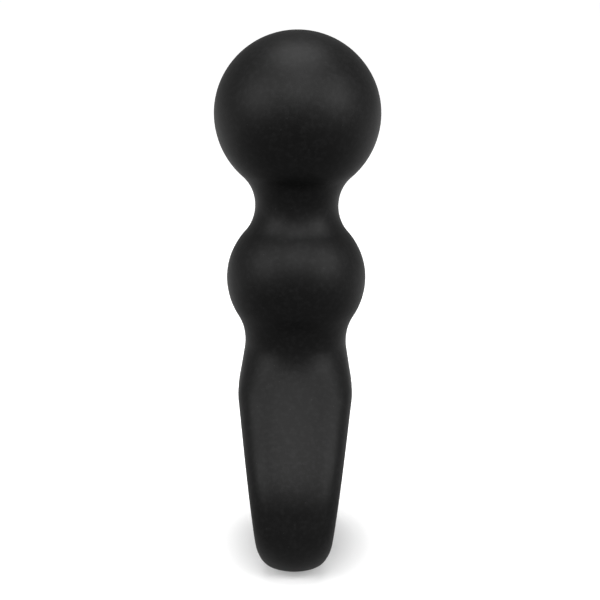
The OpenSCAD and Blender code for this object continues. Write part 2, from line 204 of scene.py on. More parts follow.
def new_group(name: str, output: str, **inputs: float) -> Group:
    """Makes an empty shader node group with named number sockets.

    Args:
        name: Name of the group.
        output: Name of its one output.
        **inputs: Default of each input.

    Returns:
        The group, ready to be filled.
    """
    tree = bpy.data.node_groups.new(name, "ShaderNodeTree")
    for label, default in inputs.items():
        socket = tree.interface.new_socket(name=title(label), in_out="INPUT", socket_type=FLOAT)
        socket.default_value = default
    tree.interface.new_socket(name=output, in_out="OUTPUT", socket_type=FLOAT)
    return Group(tree, Nodes(tree), tree.nodes.new("NodeGroupInput"), tree.nodes.new("NodeGroupOutput"))


class Effects:
    """The surface effects that more than one finish uses, each a node group made once."""

    coarse_ratio = 0.22
    edge_from, edge_to = 0.5, 0.56
    break_from, break_to = 0.4, 0.62

    def __init__(self) -> None:
        """Builds every group."""
        self.texture = self.build_texture()
        self.handling = self.build_handling()
        self.lint = self.build_lint()
        self.wear = self.build_wear()

    def build_texture(self) -> bpy.types.NodeTree:
        """Makes the fine spark-eroded texture of a mould.

        Returns:
            A group that gives a height from 0 to 1.
        """
        group = new_group("moulded_texture", "Height", grain_per_metre=3000.0, coarse_share=0.3)
        nodes, (scale, share) = group.nodes, group.start.outputs[:2]
        place = nodes.add("TexCoord").outputs["Object"]
        fine = nodes.add("TexNoise", {"Vector": place, "Scale": scale, "Detail": 3.0, "Roughness": 0.6})
        slow = nodes.math("MULTIPLY", scale, self.coarse_ratio)
        coarse = nodes.add("TexNoise", {"Vector": place, "Scale": slow, "Detail": 2.0})
        broad = nodes.math("MULTIPLY", coarse.outputs[0], share)
        rest = nodes.math("MULTIPLY", fine.outputs[0], nodes.math("SUBTRACT", 1.0, share))
        nodes.link(nodes.math("ADD", broad, rest), group.end, 0)
        return group.tree

    def build_handling(self) -> bpy.types.NodeTree:
        """Makes the faint patches that hands leave.

        Returns:
            A group that gives a mask, from 0 on clean to 1 on handled surface.
        """
        group = new_group("handling", "Mask", patches_per_metre=60.0, contrast=0.5)
        nodes, (scale, contrast) = group.nodes, group.start.outputs[:2]
        place = nodes.add("TexCoord").outputs["Object"]
        look = {"Vector": place, "Scale": scale, "Detail": 4.0, "Distortion": 0.6}
        centred = nodes.math("SUBTRACT", nodes.add("TexNoise", look).outputs[0], 0.5)
        swing = nodes.math("MULTIPLY", centred, nodes.math("MULTIPLY", contrast, 4.0))
        raised = nodes.math("ADD", swing, 0.5)
        nodes.link(nodes.spread(raised, 0.0, 1.0, 0.0, 1.0), group.end, 0)
        return group.tree

    def build_lint(self) -> bpy.types.NodeTree:
        """Makes sparse tiny specks of lint.

        Returns:
            A group that gives a mask, 1 on a speck.
        """
        group = new_group("lint", "Mask", cells_per_metre=420.0, size=0.07, amount=0.25)
        nodes, (scale, size, amount) = group.nodes, group.start.outputs[:3]
        place = nodes.add("TexCoord").outputs["Object"]
        cells = nodes.add("TexVoronoi", {"Vector": place, "Scale": scale})
        near = nodes.math("LESS_THAN", cells.outputs["Distance"], size)
        pick = nodes.add("SeparateColor", {"Color": cells.outputs["Color"]}).outputs[0]
        chosen = nodes.math("LESS_THAN", pick, amount)
        nodes.link(nodes.math("MULTIPLY", near, chosen), group.end, 0)
        return group.tree

    def build_wear(self) -> bpy.types.NodeTree:
        """Makes rubbed edges, broken up by noise.

        Returns:
            A group that gives a mask, up to its reach on a worn edge.
        """
        group = new_group("edge_wear", "Mask", reach=0.5, breaks_per_metre=900.0)
        nodes, (reach, scale) = group.nodes, group.start.outputs[:2]
        point = nodes.add("NewGeometry").outputs["Pointiness"]
        place = nodes.add("TexCoord").outputs["Object"]
        breaks = nodes.add("TexNoise", {"Vector": place, "Scale": scale, "Detail": 3.0}).outputs[0]
        edge = nodes.spread(point, self.edge_from, self.edge_to, 0.0, 1.0)
        broken = nodes.spread(breaks, self.break_from, self.break_to, 0.0, 1.0)
        worn = nodes.math("MULTIPLY", edge, broken)
        nodes.link(nodes.math("MULTIPLY", worn, reach), group.end, 0)
        return group.tree


# ---------------------------------------------------------------- finishes


def opaque(colour: Colour, factor: float = 1.0) -> tuple[float, float, float, float]:
    """Returns a colour times a factor, with full alpha."""
    return (*(factor * c for c in colour), 1.0)


@dataclass(frozen=True)
class Finish:
    """What every finish has: a name, a colour in linear light, and how rough it is."""

    name: str
    colour: Colour
    roughness: float

    def start(self) -> tuple[bpy.types.Material, Nodes, bpy.types.Node]:
        """Makes the material with its plain shader.

        Returns:
            The material, its node helper and its Principled BSDF.
        """
        material = bpy.data.materials.new(self.name)
        material.use_nodes = True
        shader = material.node_tree.nodes["Principled BSDF"]
        shader.inputs["Base Color"].default_value = opaque(self.colour)
        shader.inputs["Roughness"].default_value = self.roughness
        return material, Nodes(material.node_tree), shader

    @staticmethod
    def place(nodes: Nodes, tree: bpy.types.NodeTree, **values: float) -> bpy.types.NodeSocket:
        """Places an effect group.

        Args:
            nodes: The material's node helper.
            tree: The effect.
            **values: Values of the effect's inputs.

        Returns:
            The group's output.
        """
        node = nodes.tree.nodes.new("ShaderNodeGroup")
        node.node_tree = tree
        for label, value in values.items():
            node.inputs[title(label)].default_value = value
        return node.outputs[0]

    @staticmethod
    def bump(nodes: Nodes, shader: bpy.types.Node, height: bpy.types.NodeSocket, strength: float,
             depth: float) -> None:
        """Gives the shader a relief.

        Args:
            nodes: The material's node helper.
            shader: The Principled BSDF.
            height: Height, from 0 to 1.
            strength: Share of the relief that shows.
            depth: Depth of the relief, in metres.
        """
        relief = nodes.add("Bump", {"Strength": strength, "Distance": depth, "Height": height})
        nodes.link(relief.outputs[0], shader, "Normal")


@dataclass(frozen=True)
class Silicone(Finish):
    """Soft-touch silicone: near-black, matt, with a fine texture, handling marks, dust and lint."""

    specular: float = 0.24
    handled_lift: float = 1.5
    polished: float = 0.035
    dulled: float = 0.045
    lint_colour: Colour = (0.16, 0.16, 0.165)
    lint_cover: float = 0.07
    bloom_scale: float = 800.0
    bloom_cover: float = 0.03
    bloom_from: float = 0.46
    bloom_to: float = 0.72
    grain: float = 2600.0
    depth: float = 0.06 * MM
    relief: float = 0.6

    def material(self, effects: Effects) -> bpy.types.Material:
        """Builds the material.

        Args:
            effects: The shared effect groups.

        Returns:
            The finished material.
        """
        material, nodes, shader = self.start()
        shader.inputs["Specular IOR Level"].default_value = self.specular
        marks = self.place(nodes, effects.handling, patches_per_metre=70.0, contrast=0.45)
        lint = self.place(nodes, effects.lint, cells_per_metre=700.0, size=0.11, amount=0.14)
        skin = nodes.mix(marks, opaque(self.colour), opaque(self.colour, self.handled_lift))
        spot = nodes.add("TexCoord").outputs["Object"]
        noise = {"Vector": spot, "Scale": self.bloom_scale, "Detail": 4.0}
        bloom = nodes.add("TexNoise", noise).outputs[0]
        dusted = nodes.spread(bloom, self.bloom_from, self.bloom_to, 0.0, self.bloom_cover)
        cover = nodes.math("ADD", dusted, nodes.math("MULTIPLY", lint, self.lint_cover))
        nodes.link(nodes.mix(cover, skin, opaque(self.lint_colour)), shader, "Base Color")
        low, high = self.roughness - self.polished, self.roughness + self.dulled
        nodes.link(nodes.spread(marks, 0.0, 1.0, low, high), shader, "Roughness")
        grain = self.place(nodes, effects.texture, grain_per_metre=self.grain, coarse_share=0.35)
        self.bump(nodes, shader, grain, self.relief, self.depth)
        return material


@dataclass(frozen=True)
class MouldedPlastic(Finish):
    """Injection-moulded plastic: a spark-eroded grain, and paler rubbed edges."""

    grain: float = 2200.0
    depth: float = 0.04 * MM
    rubbed: float = 1.35
    rubbed_lift: float = 0.004
    polished: float = 0.04
    dulled: float = 0.05
    relief: float = 0.3

    def material(self, effects: Effects) -> bpy.types.Material:
        """Builds the material.

        Args:
            effects: The shared effect groups.

        Returns:
            The finished material.
        """
        material, nodes, shader = self.start()
        worn = self.place(nodes, effects.wear, reach=0.6)
        marks = self.place(nodes, effects.handling, patches_per_metre=120.0, contrast=0.4)
        paler = tuple(min(1.0, self.rubbed * c + self.rubbed_lift) for c in self.colour)
        nodes.link(nodes.mix(worn, opaque(self.colour), opaque(paler)), shader, "Base Color")
        low, high = self.roughness - self.polished, self.roughness + self.dulled
        nodes.link(nodes.spread(marks, 0.0, 1.0, low, high), shader, "Roughness")
        grain = self.place(nodes, effects.texture, grain_per_metre=self.grain)
        self.bump(nodes, shader, grain, self.relief, self.depth)
        return material


@dataclass(frozen=True)
class Diffuser(Finish):
    """Frosted plastic that light seeps into: pale and a little cloudy."""

    seep: float = 0.25
    seep_reach: float = 0.6 * MM
    clouded: float = 0.9
    grain: float = 5000.0
    depth: float = 0.02 * MM
    relief: float = 0.2

    def material(self, effects: Effects) -> bpy.types.Material:
        """Builds the material.

        Args:
            effects: The shared effect groups.

        Returns:
            The finished material.
        """
        material, nodes, shader = self.start()
        shader.inputs["Subsurface Weight"].default_value = self.seep
        shader.inputs["Subsurface Radius"].default_value = (self.seep_reach,) * 3
        cloud = self.place(nodes, effects.handling, patches_per_metre=400.0, contrast=0.3)
        shade = nodes.mix(cloud, opaque(self.colour), opaque(self.colour, self.clouded))
        nodes.link(shade, shader, "Base Color")
        grain = self.place(nodes, effects.texture, grain_per_metre=self.grain)
        self.bump(nodes, shader, grain, self.relief, self.depth)
        return material


class Grain(Enum):
    """How a metal surface was worked: the stretch of its marks along X, Y and Z."""

    DRAWN = (1.0, 1.0, 0.04)
    TURNED = (0.05, 0.05, 1.0)
    SINTERED = (1.0, 1.0, 1.0)


@dataclass(frozen=True)
class Metal(Finish):
    """Bare or plated metal with the marks of how it was made."""

    grain: Grain = Grain.DRAWN
    marks_per_metre: float = 4000.0
    tarnished: float = 0.78
    polished: float = 0.06
    scored: float = 0.1
    mark_from: float = 0.3
    mark_to: float = 0.7
    depth: float = 0.02 * MM
    relief: float = 0.25

    def material(self, effects: Effects) -> bpy.types.Material:
        """Builds the material.

        Args:
            effects: The shared effect groups.

        Returns:
            The finished material.
        """
        material, nodes, shader = self.start()
        shader.inputs["Metallic"].default_value = 1.0
        spot = nodes.add("TexCoord").outputs["Object"]
        along = nodes.add("Mapping", {"Vector": spot, "Scale": self.grain.value}).outputs[0]
        noise = {"Vector": along, "Scale": self.marks_per_metre, "Detail": 3.0}
        marks = nodes.add("TexNoise", noise).outputs[0]
        tarnish = self.place(nodes, effects.handling, patches_per_metre=160.0, contrast=0.5)
        shade = nodes.mix(tarnish, opaque(self.colour), opaque(self.colour, self.tarnished))
        nodes.link(shade, shader, "Base Color")
        low, high = self.roughness - self.polished, self.roughness + self.scored
        nodes.link(nodes.spread(marks, self.mark_from, self.mark_to, low, high), shader, "Roughness")
        self.bump(nodes, shader, marks, self.relief, self.depth)
        return material


FINISHES: dict[str, Silicone | MouldedPlastic | Diffuser | Metal] = {
    "silicone": Silicone("silicone", (0.001, 0.001, 0.001), 0.5),
    "core_plastic": MouldedPlastic("core_plastic", (0.60, 0.60, 0.56), 0.5),
    "dark_plastic": MouldedPlastic("dark_plastic", (0.018, 0.019, 0.021), 0.45),
    "button_plastic": MouldedPlastic("button_plastic", (0.010, 0.010, 0.0105), 0.34, 3600.0, 0.02 * MM),
    "light_diffuser": Diffuser("light_diffuser", (0.70, 0.72, 0.71), 0.38),
    "boot_rubber": MouldedPlastic("boot_rubber", (0.012, 0.012, 0.012), 0.72, 1600.0),
    "screw_steel": Metal("screw_steel", (0.56, 0.56, 0.54), 0.34, Grain.TURNED),
    "can_steel": Metal("can_steel", (0.58, 0.59, 0.61), 0.3, Grain.DRAWN),
    "shaft_steel": Metal("shaft_steel", (0.72, 0.73, 0.74), 0.16, Grain.TURNED, 6000.0),
    "weight_metal": Metal("weight_metal", (0.26, 0.27, 0.28), 0.5, Grain.SINTERED, 3000.0),
    "magnet": Metal("magnet", (0.30, 0.30, 0.31), 0.42, Grain.SINTERED, 2600.0),
    "bronze": Metal("bronze", (0.58, 0.34, 0.14), 0.4, Grain.SINTERED, 3400.0),
    "copper_wire": Metal("copper_wire", (0.55, 0.20, 0.08), 0.3, Grain.TURNED, 5000.0),
    "contact_gold": Metal("contact_gold", (0.83, 0.60, 0.24), 0.24, Grain.TURNED, 5200.0),
    "cell_wrap": MouldedPlastic("cell_wrap", (0.02, 0.10, 0.22), 0.28, 900.0, 0.02 * MM),
    "board_green": MouldedPlastic("board_green", (0.010, 0.085, 0.030), 0.3, 1200.0, 0.02 * MM),
    "lead_red": MouldedPlastic("lead_red", (0.35, 0.02, 0.015), 0.42),
    "lead_black": MouldedPlastic("lead_black", (0.008, 0.008, 0.008), 0.42),
    "lead_blue": MouldedPlastic("lead_blue", (0.012, 0.05, 0.28), 0.42),
}


# ---------------------------------------------------------------- meshes


def link_mesh(name: str, points: list[Point], faces: list[tuple[int, ...]]) -> bpy.types.Object:
    """Makes a smooth-shaded mesh object.

    Args:
        name: Name of the piece.
        points: Corners, in metres.
        faces: Faces, as corner numbers.

    Returns:
        The new object, linked to the scene.
    """
    mesh = bpy.data.meshes.new(name)
    mesh.from_pydata(points, [], faces)
    mesh.validate()
    mesh.update()
    mesh.shade_smooth()
    piece = bpy.data.objects.new(name, mesh)
    bpy.context.scene.collection.objects.link(piece)
    return piece


def finish_mesh(piece: bpy.types.Object, sharp_degrees: float = 40.0) -> None:
    """Marks edges sharper than an angle as sharp, and leaves the rest smooth."""
    piece.data.set_sharp_from_angle(angle=math.radians(sharp_degrees))


def turned_piece(name: str, profile: list[Spot], base: Vector, along: Vector,
                 sides: int) -> bpy.types.Object:
    """Turns a closed profile about an axis, as on a lathe.

    Args:
        name: Name of the piece.
        profile: Radius and distance along the axis, closed. Only its ends may lie on the axis.
        base: Where the axis starts.
        along: Unit direction of the axis.
        sides: Steps around the axis.

    Returns:
        The turned object.
    """
    across = along.orthogonal().normalized()
    third = along.cross(across)
    points: list[Point] = []
    rows: list[list[int]] = []
    for radius, distance in profile:
        row = []
        count = 1 if radius == 0.0 else sides
        for k in range(count):
            turn = 2.0 * math.pi * k / sides
            spot = base + along * distance + (across * math.cos(turn) + third * math.sin(turn)) * radius
            row.append(len(points))
            points.append(tuple(spot))
        rows.append(row * sides if count == 1 else row)
    faces: list[tuple[int, ...]] = []
    closed = profile[0][0] != 0.0
    last = len(rows) if closed else len(rows) - 1
    for i in range(last):
        low, high = rows[i], rows[(i + 1) % len(rows)]
        for k in range(sides):
            n = (k + 1) % sides
            corners = [low[k], low[n], high[n], high[k]]
            kept = [c for j, c in enumerate(corners) if c not in corners[:j]]
            if len(kept) > 2:
                faces.append(tuple(kept))
    return link_mesh(name, points, faces)


def rounded_corner(centre: Spot, radius: float, start: float, steps: int = 5) -> list[Spot]:
    """Makes a quarter circle in a profile, turning left.

    Args:
        centre: Radius and distance of the circle's centre.
        radius: Radius of the circle.
        start: Angle of the first point, in degrees.
        steps: Steps round the quarter.

    Returns:
        The points of the quarter circle.
    """
    spots = []
    for k in range(steps + 1):
        turn = math.radians(start + 90.0 * k / steps)
        spots.append((centre[0] + radius * math.cos(turn), centre[1] + radius * math.sin(turn)))
    return spots


# ---------------------------------------------------------------- the skin


@dataclass
class SiliconeSkin:
    """The seamless silicone skin: two balls, two necks and the grip, with its openings.

    All lengths are in millimetres here, and the mesh is made in metres.
    """

    head_r: float = 22.0
    bead_r: float = 18.4
    neck_r: float = 11.0
    waist_r: float = 13.4
    waist_z: float = 58.6
    neck_fillet: float = 10.75
    waist_fillet: float = 13.0
    shoulder_z: float = 45.8
    shoulder_w: float = 30.6
    waist_slope: float = 0.16
    shoulder_round: float = 0.5
    foot_w: float = 20.4
    foot_side_z: float = 9.8
    foot_side_in: float = 5.0
    spread: float = 16.5
    spread_z: float = 19.0
    flare: float = 0.08
    foot_end_z: float = 15.0
    foot_end_in: float = 18.0
    nose_ratio: float = 0.85
    nose_power: float = 2.8
    foot_power: float = 1.7
    skin_t: float = 2.4
    quarter: int = 34
    curve_steps: int = 72
    arc_steps: tuple[int, int, int, int] = (7, 3, 4, 1)
    grip_steps: int = 9
    foot_steps: int = 4
    outer_fine: int = 7
    inner_fine: int = 3
    crown_from: float = 88.0
    parting_half: float = 0.16
    parting_proud: float = 0.045
    lip: float = 0.35
    mouth_in: float = 8.0
    mouth_length: float = 12.0
    mouth_sides: int = 128
    pad_below: float = 1.0
    pad_past: float = 2.0
    pad_lip: float = 0.25
    pad_sides: int = 64
    sharp_degrees: float = 32.0
    centres: dict[str, float] = field(default_factory=dict)

    def __post_init__(self) -> None:
        """Works out the centres of the balls and necks, each tangent to the next."""
        waist_arc = self.waist_r + self.waist_fillet
        neck_arc = self.neck_r + self.neck_fillet
        bead_z = self.waist_z + math.sqrt((self.bead_r + self.waist_fillet) ** 2 - waist_arc**2)
        neck_z = bead_z + math.sqrt((self.bead_r + self.neck_fillet) ** 2 - neck_arc**2)
        head_z = neck_z + math.sqrt((self.head_r + self.neck_fillet) ** 2 - neck_arc**2)
        self.centres = {"bead": bead_z, "neck": neck_z, "head": head_z}

    def turned_outline(self, inset: float, fine: int) -> list[Spot]:
        """Returns the outline from the crown to the waist.

        Args:
            inset: How far the outline is drawn in.
            fine: Steps along the shortest arc.

        Returns:
            Radius and height pairs, from the top down.
        """
        neck_arc = self.neck_r + self.neck_fillet
        waist_arc = self.waist_r + self.waist_fillet
        head, neck, bead = self.centres["head"], self.centres["neck"], self.centres["bead"]
        head_turn = math.degrees(math.atan2(neck - head, neck_arc))
        bead_turn = math.degrees(math.atan2(neck - bead, neck_arc))
        waist_turn = math.degrees(math.atan2(self.waist_z - bead, waist_arc))
        arcs = (
            ((0.0, head), self.head_r - inset, self.crown_from, head_turn),
            ((neck_arc, neck), self.neck_fillet + inset, 180.0 + head_turn, 180.0 + bead_turn),
            ((0.0, bead), self.bead_r - inset, bead_turn, waist_turn),
            ((waist_arc, self.waist_z), self.waist_fillet + inset, 180.0 + waist_turn, 180.0),
        )
        outline: list[Spot] = []
        for ((x, z), radius, start, stop), share in zip(arcs, self.arc_steps):
            steps = share * fine
            for k in range(0 if not outline else 1, steps + 1):
                turn = math.radians(start + (stop - start) * k / steps)
                outline.append((x + radius * math.cos(turn), z + radius * math.sin(turn)))
        return outline

    def half_width(self, z: float, inset: float) -> float:
        """Works out half the grip's width.

        Args:
            z: Height.
            inset: How far the form is drawn in.

        Returns:
            Half the width at that height.
        """
        down = self.waist_z - z
        turn = math.atan(self.waist_slope)
        reach = self.waist_fillet * math.sin(turn)
        if down < reach:
            under = self.waist_r + self.waist_fillet - math.sqrt(self.waist_fillet**2 - down * down)
        else:
            end = self.waist_r + self.waist_fillet * (1.0 - math.cos(turn))
            under = end + (down - reach) * self.waist_slope
        taper = (self.shoulder_w - self.foot_w) / 2.0 / (self.shoulder_z - self.foot_side_z)
        side = self.shoulder_w / 2.0 - (self.shoulder_z - z) * taper
        drawn = round_in(z - inset, self.foot_side_z - inset, self.foot_side_in - inset)
        return blend_min(under, side, self.shoulder_round) - inset - drawn

    def half_depth(self, z: float, inset: float) -> float:
        """Works out half the grip's depth.

        Args:
            z: Height.
            inset: How far the form is drawn in.

        Returns:
            Half the depth at that height.
        """
        down = self.waist_z - z
        full = self.waist_r + self.spread * smooth(down / (self.waist_z - self.spread_z))
        full += self.flare * down * smooth(down / self.foot_end_z)
        drawn = round_in(z - inset, self.foot_end_z - inset, self.foot_end_in - inset)
        return full - inset - drawn

    def section(self, z: float, inset: float) -> tuple[float, float, float, float]:
        """Works out the grip's outline at a height.

        Args:
            z: Height.
            inset: How far the form is drawn in.

        Returns:
            Half width, half straight side, nose length and corner power.
        """
        squareness = smooth((self.waist_z - z) / (self.waist_z - self.shoulder_z))
        a = self.half_width(z, inset)
        depth = self.half_depth(z, inset)
        nose = min(depth, a * (1.0 + (self.nose_ratio - 1.0) * squareness))
        power = 2.0 + (self.nose_power - 2.0) * squareness
        power += (self.foot_power - power) * smooth((self.foot_end_z - z) / self.foot_end_z)
        return a, depth - nose, nose, power

    def ring(self, a: float, straight: float, nose: float, power: float, z: float,
             ridge: float) -> list[Point]:
        """Returns one closed ring of evenly spaced points, with the parting ridge on each side.

        Args:
            a: Half width.
            straight: Half length of the straight side.
            nose: Length of the rounded end.
            power: Corner power of the rounded end.
            z: Height.
            ridge: How far the parting line stands proud.

        Returns:
            Points from +X round to +X again, in metres.
        """
        curve = [(a, 0.0)]
        for k in range(self.curve_steps + 1):
            turn = math.pi / 2.0 * k / self.curve_steps
            x = a * math.cos(turn) ** (2.0 / power) if k < self.curve_steps else 0.0
            curve.append((x, straight + nose * math.sin(turn) ** (2.0 / power)))
        lengths = [0.0]
        for (x0, y0), (x1, y1) in zip(curve, curve[1:]):
            lengths.append(lengths[-1] + math.hypot(x1 - x0, y1 - y0))
        total = lengths[-1]
        wanted = [0.0, self.parting_half] + [total * k / self.quarter for k in range(1, self.quarter + 1)]
        quarter: list[Spot] = []
        i = 0
        for distance in wanted:
            while i < len(lengths) - 2 and lengths[i + 1] < distance:
                i += 1
            span = lengths[i + 1] - lengths[i]
            t = (distance - lengths[i]) / span if span > 0.0 else 0.0
            (x0, y0), (x1, y1) = curve[i], curve[i + 1]
            quarter.append((x0 + (x1 - x0) * t, y0 + (y1 - y0) * t))
        quarter[0] = (a + ridge, 0.0)
        quarter[-1] = (0.0, straight + nose)
        back = quarter + [(-x, y) for x, y in reversed(quarter[:-1])]
        whole = back + [(x, -y) for x, y in reversed(back[1:-1])]
        return [(x * MM, y * MM, z * MM) for x, y in whole]

    def surface(self, inset: float, fine: int) -> list[list[Point]]:
        """Returns the rings of the whole form, from the crown to the foot.

        Args:
            inset: How far the form is drawn in.
            fine: Steps along the shortest arc.

        Returns:
            Rings with the same number of points.
        """
        ridge = self.parting_proud if inset == 0.0 else 0.0
        rings = [self.ring(r, 0.0, r, 2.0, z, ridge) for r, z in self.turned_outline(inset, fine)]
        grip_steps = self.grip_steps * fine
        for k in range(1, grip_steps + 1):
            z = self.waist_z + (self.foot_end_z - self.waist_z) * k / grip_steps
            a, straight, nose, power = self.section(z, inset)
            rings.append(self.ring(a, straight, nose, power, z, ridge))
        foot_steps = self.foot_steps * fine
        for k in range(1, foot_steps + 1):
            share = k / foot_steps
            z = inset + (self.foot_end_z - inset) * (1.0 - math.sin(math.pi / 2.0 * share))
            a, straight, nose, power = self.section(z, inset)
            fade = ridge * (1.0 - smooth(2.0 * share - 1.0))
            rings.append(self.ring(a, straight, nose, power, z, fade))
        return rings

    def closed_form(self, name: str, inset: float, fine: int) -> bpy.types.Object:
        """Makes a closed solid of the whole form.

        Args:
            name: Name of the object.
            inset: How far the form is drawn in.
            fine: Steps along the shortest arc.

        Returns:
            The solid.
        """
        rings = self.surface(inset, fine)
        sides = len(rings[0])
        points = [p for ring in rings for p in ring]
        faces: list[tuple[int, ...]] = []
        for i in range(len(rings) - 1):
            for k in range(sides):
                n = (k + 1) % sides
                low, high = i * sides, (i + 1) * sides
                faces.append((low + k, high + k, high + n, low + n))
        crown = len(points)
        points.append((0.0, 0.0, (self.centres["head"] + self.head_r - inset) * MM))
        faces.extend((crown, k, (k + 1) % sides) for k in range(sides))
        last = (len(rings) - 1) * sides
        faces.append(tuple(last + k for k in reversed(range(sides))))
        return link_mesh(name, points, faces)

    def build(self) -> bpy.types.Object:
        """Makes the hollow skin and cuts its openings.

        Returns:
            The skin, riding on the housing.
        """
        skin = self.closed_form("silicone_skin_formed", 0.0, self.outer_fine)
        tools = [self.closed_form("skin_hollow", self.skin_t, self.inner_fine), self.button_mouth()]
        tools += self.pad_mouths()
        for tool in tools:
            self.cut(skin, tool)
        finish_mesh(skin, self.sharp_degrees)
        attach(skin, "housing")
        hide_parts("silicone_skin")
        return skin

    def button_mouth(self) -> bpy.types.Object:
        """Makes the tool for the round window, with a bevelled lip.

        Returns:
            The tool, on the axis of the light ring.
        """
        low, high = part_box("light_ring")
        centre = (Vector(low) + Vector(high)) / 2.0
        radius = (high[0] - low[0]) / 2.0
        base = Vector((0.0, high[1] - self.mouth_in * MM, centre.z))
        length, lip = self.mouth_length * MM, self.lip * MM
        front = self.half_depth(centre.z / MM, 0.0) * MM - base.y
        profile = [(0.0, 0.0), (radius, 0.0), (radius, front - lip), (radius + lip, front + lip),
                   (radius + lip, length), (0.0, length)]
        return turned_piece("button_mouth", profile, base, BACKWARD, self.mouth_sides)

    def pad_mouths(self) -> list[bpy.types.Object]:
        """Makes the tools for the two contact holes, each with a bevelled lip.

        Returns:
            The tools, from front to back.
        """
        low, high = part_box("charge_pads")
        radius = (high[0] - low[0]) / 2.0
        below, lip = self.pad_below * MM, self.pad_lip * MM
        length = (self.skin_t + self.pad_past) * MM
        profile = [(0.0, 0.0), (radius + lip, 0.0), (radius + lip, below), (radius, below + lip),
                   (radius, length), (0.0, length)]
        return [turned_piece("pad_mouth", profile, Vector((0.0, y, -below)), UP, self.pad_sides)
                for y in (low[1] + radius, high[1] - radius)]

    @staticmethod
    def cut(body: bpy.types.Object, tool: bpy.types.Object) -> None:
        """Cuts a tool out of a body and removes the tool.

        Args:
            body: The object to cut.
            tool: The closed shape that is taken away.
        """
        cutter = body.modifiers.new("cut", "BOOLEAN")
        cutter.operation = "DIFFERENCE"
        cutter.solver = "EXACT"
        cutter.object = tool
        bpy.context.view_layer.update()
        depsgraph = bpy.context.evaluated_depsgraph_get()
        result = bpy.data.meshes.new_from_object(body.evaluated_get(depsgraph))
        body.modifiers.clear()
        old = body.data
        body.data = result
        bpy.data.meshes.remove(old)
        bpy.data.objects.remove(tool)
        body.data.shade_smooth()


# ---------------------------------------------------------------- button, ring and contacts


@dataclass
class ButtonSet:
    """The power button, its frosted light ring and the charging contacts. Lengths are in metres."""

    edge: float = 0.28 * MM
    sides: int = 96
    ring_room: float = 0.1 * MM
    ring_step: float = 0.4 * MM
    ring_wall: float = 1.0 * MM
    step_share: float = 0.725
    stem_r: float = 1.4 * MM
    stem_length: float = 1.0 * MM
    flange: float = 0.9 * MM
    rim: float = 0.3 * MM
    dish: float = 0.3 * MM
    dish_steps: int = 10
    dish_end: float = 1.25
    tactile_r: float = 1.15 * MM
    tactile_half: float = 0.18 * MM
    tactile_proud: float = 0.16 * MM
    tactile_ridge: tuple[Spot, ...] = ((1.0, 0.0), (0.5, 0.8), (0.0, 1.0), (-0.5, 0.8), (-1.0, 0.0))
    pin_edge: float = 0.3 * MM
    pin_sides: int = 64

    def axis_of(self, node: str) -> tuple[Vector, float, float]:
        """Measures a round CAD node that lies along Y.

        Args:
            node: Name of the node.

        Returns:
            The centre of its +Y end, its radius and its length.
        """
        low, high = Vector(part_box(node)[0]), Vector(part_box(node)[1])
        middle = (low + high) / 2.0
        return Vector((middle.x, high.y, middle.z)), (high.x - low.x) / 2.0, high.y - low.y

    def build_ring(self) -> bpy.types.Object:
        """Makes the light ring with rounded rims.

        Returns:
            The ring, riding on the housing.
        """
        front, outer, length = self.axis_of("light_ring")
        inner = self.button_radius() + self.ring_room
        neck = outer - self.ring_step
        step = length * self.step_share
        e = self.edge
        profile = [(inner, -length), (neck, -length), (neck, -step), (outer, -step)]
        profile += rounded_corner((outer - e, -e), e, 0.0)
        profile += rounded_corner((inner + e, -e), e, 90.0)
        ring = turned_piece("light_ring_turned", profile, front, BACKWARD, self.sides)
        finish_mesh(ring)
        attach(ring, "housing")
        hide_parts("light_ring")
        return ring

    def button_radius(self) -> float:
        """Returns the radius of the button's cap, from its light ring."""
        low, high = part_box("light_ring")
        return (high[0] - low[0]) / 2.0 - self.ring_wall

    def build_button(self) -> bpy.types.Object:
        """Makes the dished button with a small raised ring to feel for.

        Returns:
            The button, riding on its own body.
        """
        front, flange_r, length = self.axis_of("power_button")
        cap_r = self.button_radius()
        e = self.edge
        under = self.stem_length - length
        over = self.stem_length + self.flange - length
        profile = [(0.0, -length), (self.stem_r, -length), (self.stem_r, under), (flange_r, under),
                   (flange_r, over), (cap_r, over)]
        profile += rounded_corner((cap_r - e, -e), e, 0.0)
        rim = cap_r - e - self.rim
        inner = (self.tactile_r + self.tactile_half) * self.dish_end
        for k in range(self.dish_steps + 1):
            radius = rim * (1.0 - k / self.dish_steps) + inner * k / self.dish_steps
            profile.append((radius, -self.dish * (1.0 - (radius / rim) ** 2)))
        base = -self.dish * (1.0 - (self.tactile_r / rim) ** 2)
        for across, up in self.tactile_ridge:
            profile.append((self.tactile_r + across * self.tactile_half, base + up * self.tactile_proud))
        profile += [((self.tactile_r - self.tactile_half) * 0.5, -self.dish), (0.0, -self.dish)]
        button = turned_piece("power_button_cap", profile, front, BACKWARD, self.sides)
        finish_mesh(button)
        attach(button, "button")
        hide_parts("power_button")
        return button

    def build_contacts(self) -> list[bpy.types.Object]:
        """Makes the two domed charging pins.

        Returns:
            The front pin and the rear pin, riding on the housing.
        """
        low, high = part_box("charge_pads")
        radius = (high[0] - low[0]) / 2.0
        length = high[2] - low[2]
        e = self.pin_edge
        profile = [(0.0, 0.0), *rounded_corner((radius - e, e), e, -90.0)]
        profile += [(radius, length), (0.0, length)]
        pins = []
        for name, y in (("charge_pin_front", low[1] + radius), ("charge_pin_rear", high[1] - radius)):
            pin = turned_piece(name, profile, Vector((0.0, y, low[2])), UP, self.pin_sides)
            finish_mesh(pin)
            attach(pin, "housing")
            pins.append(pin)
        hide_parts("charge_pads")
        return pins


# ---------------------------------------------------------------- inner pieces


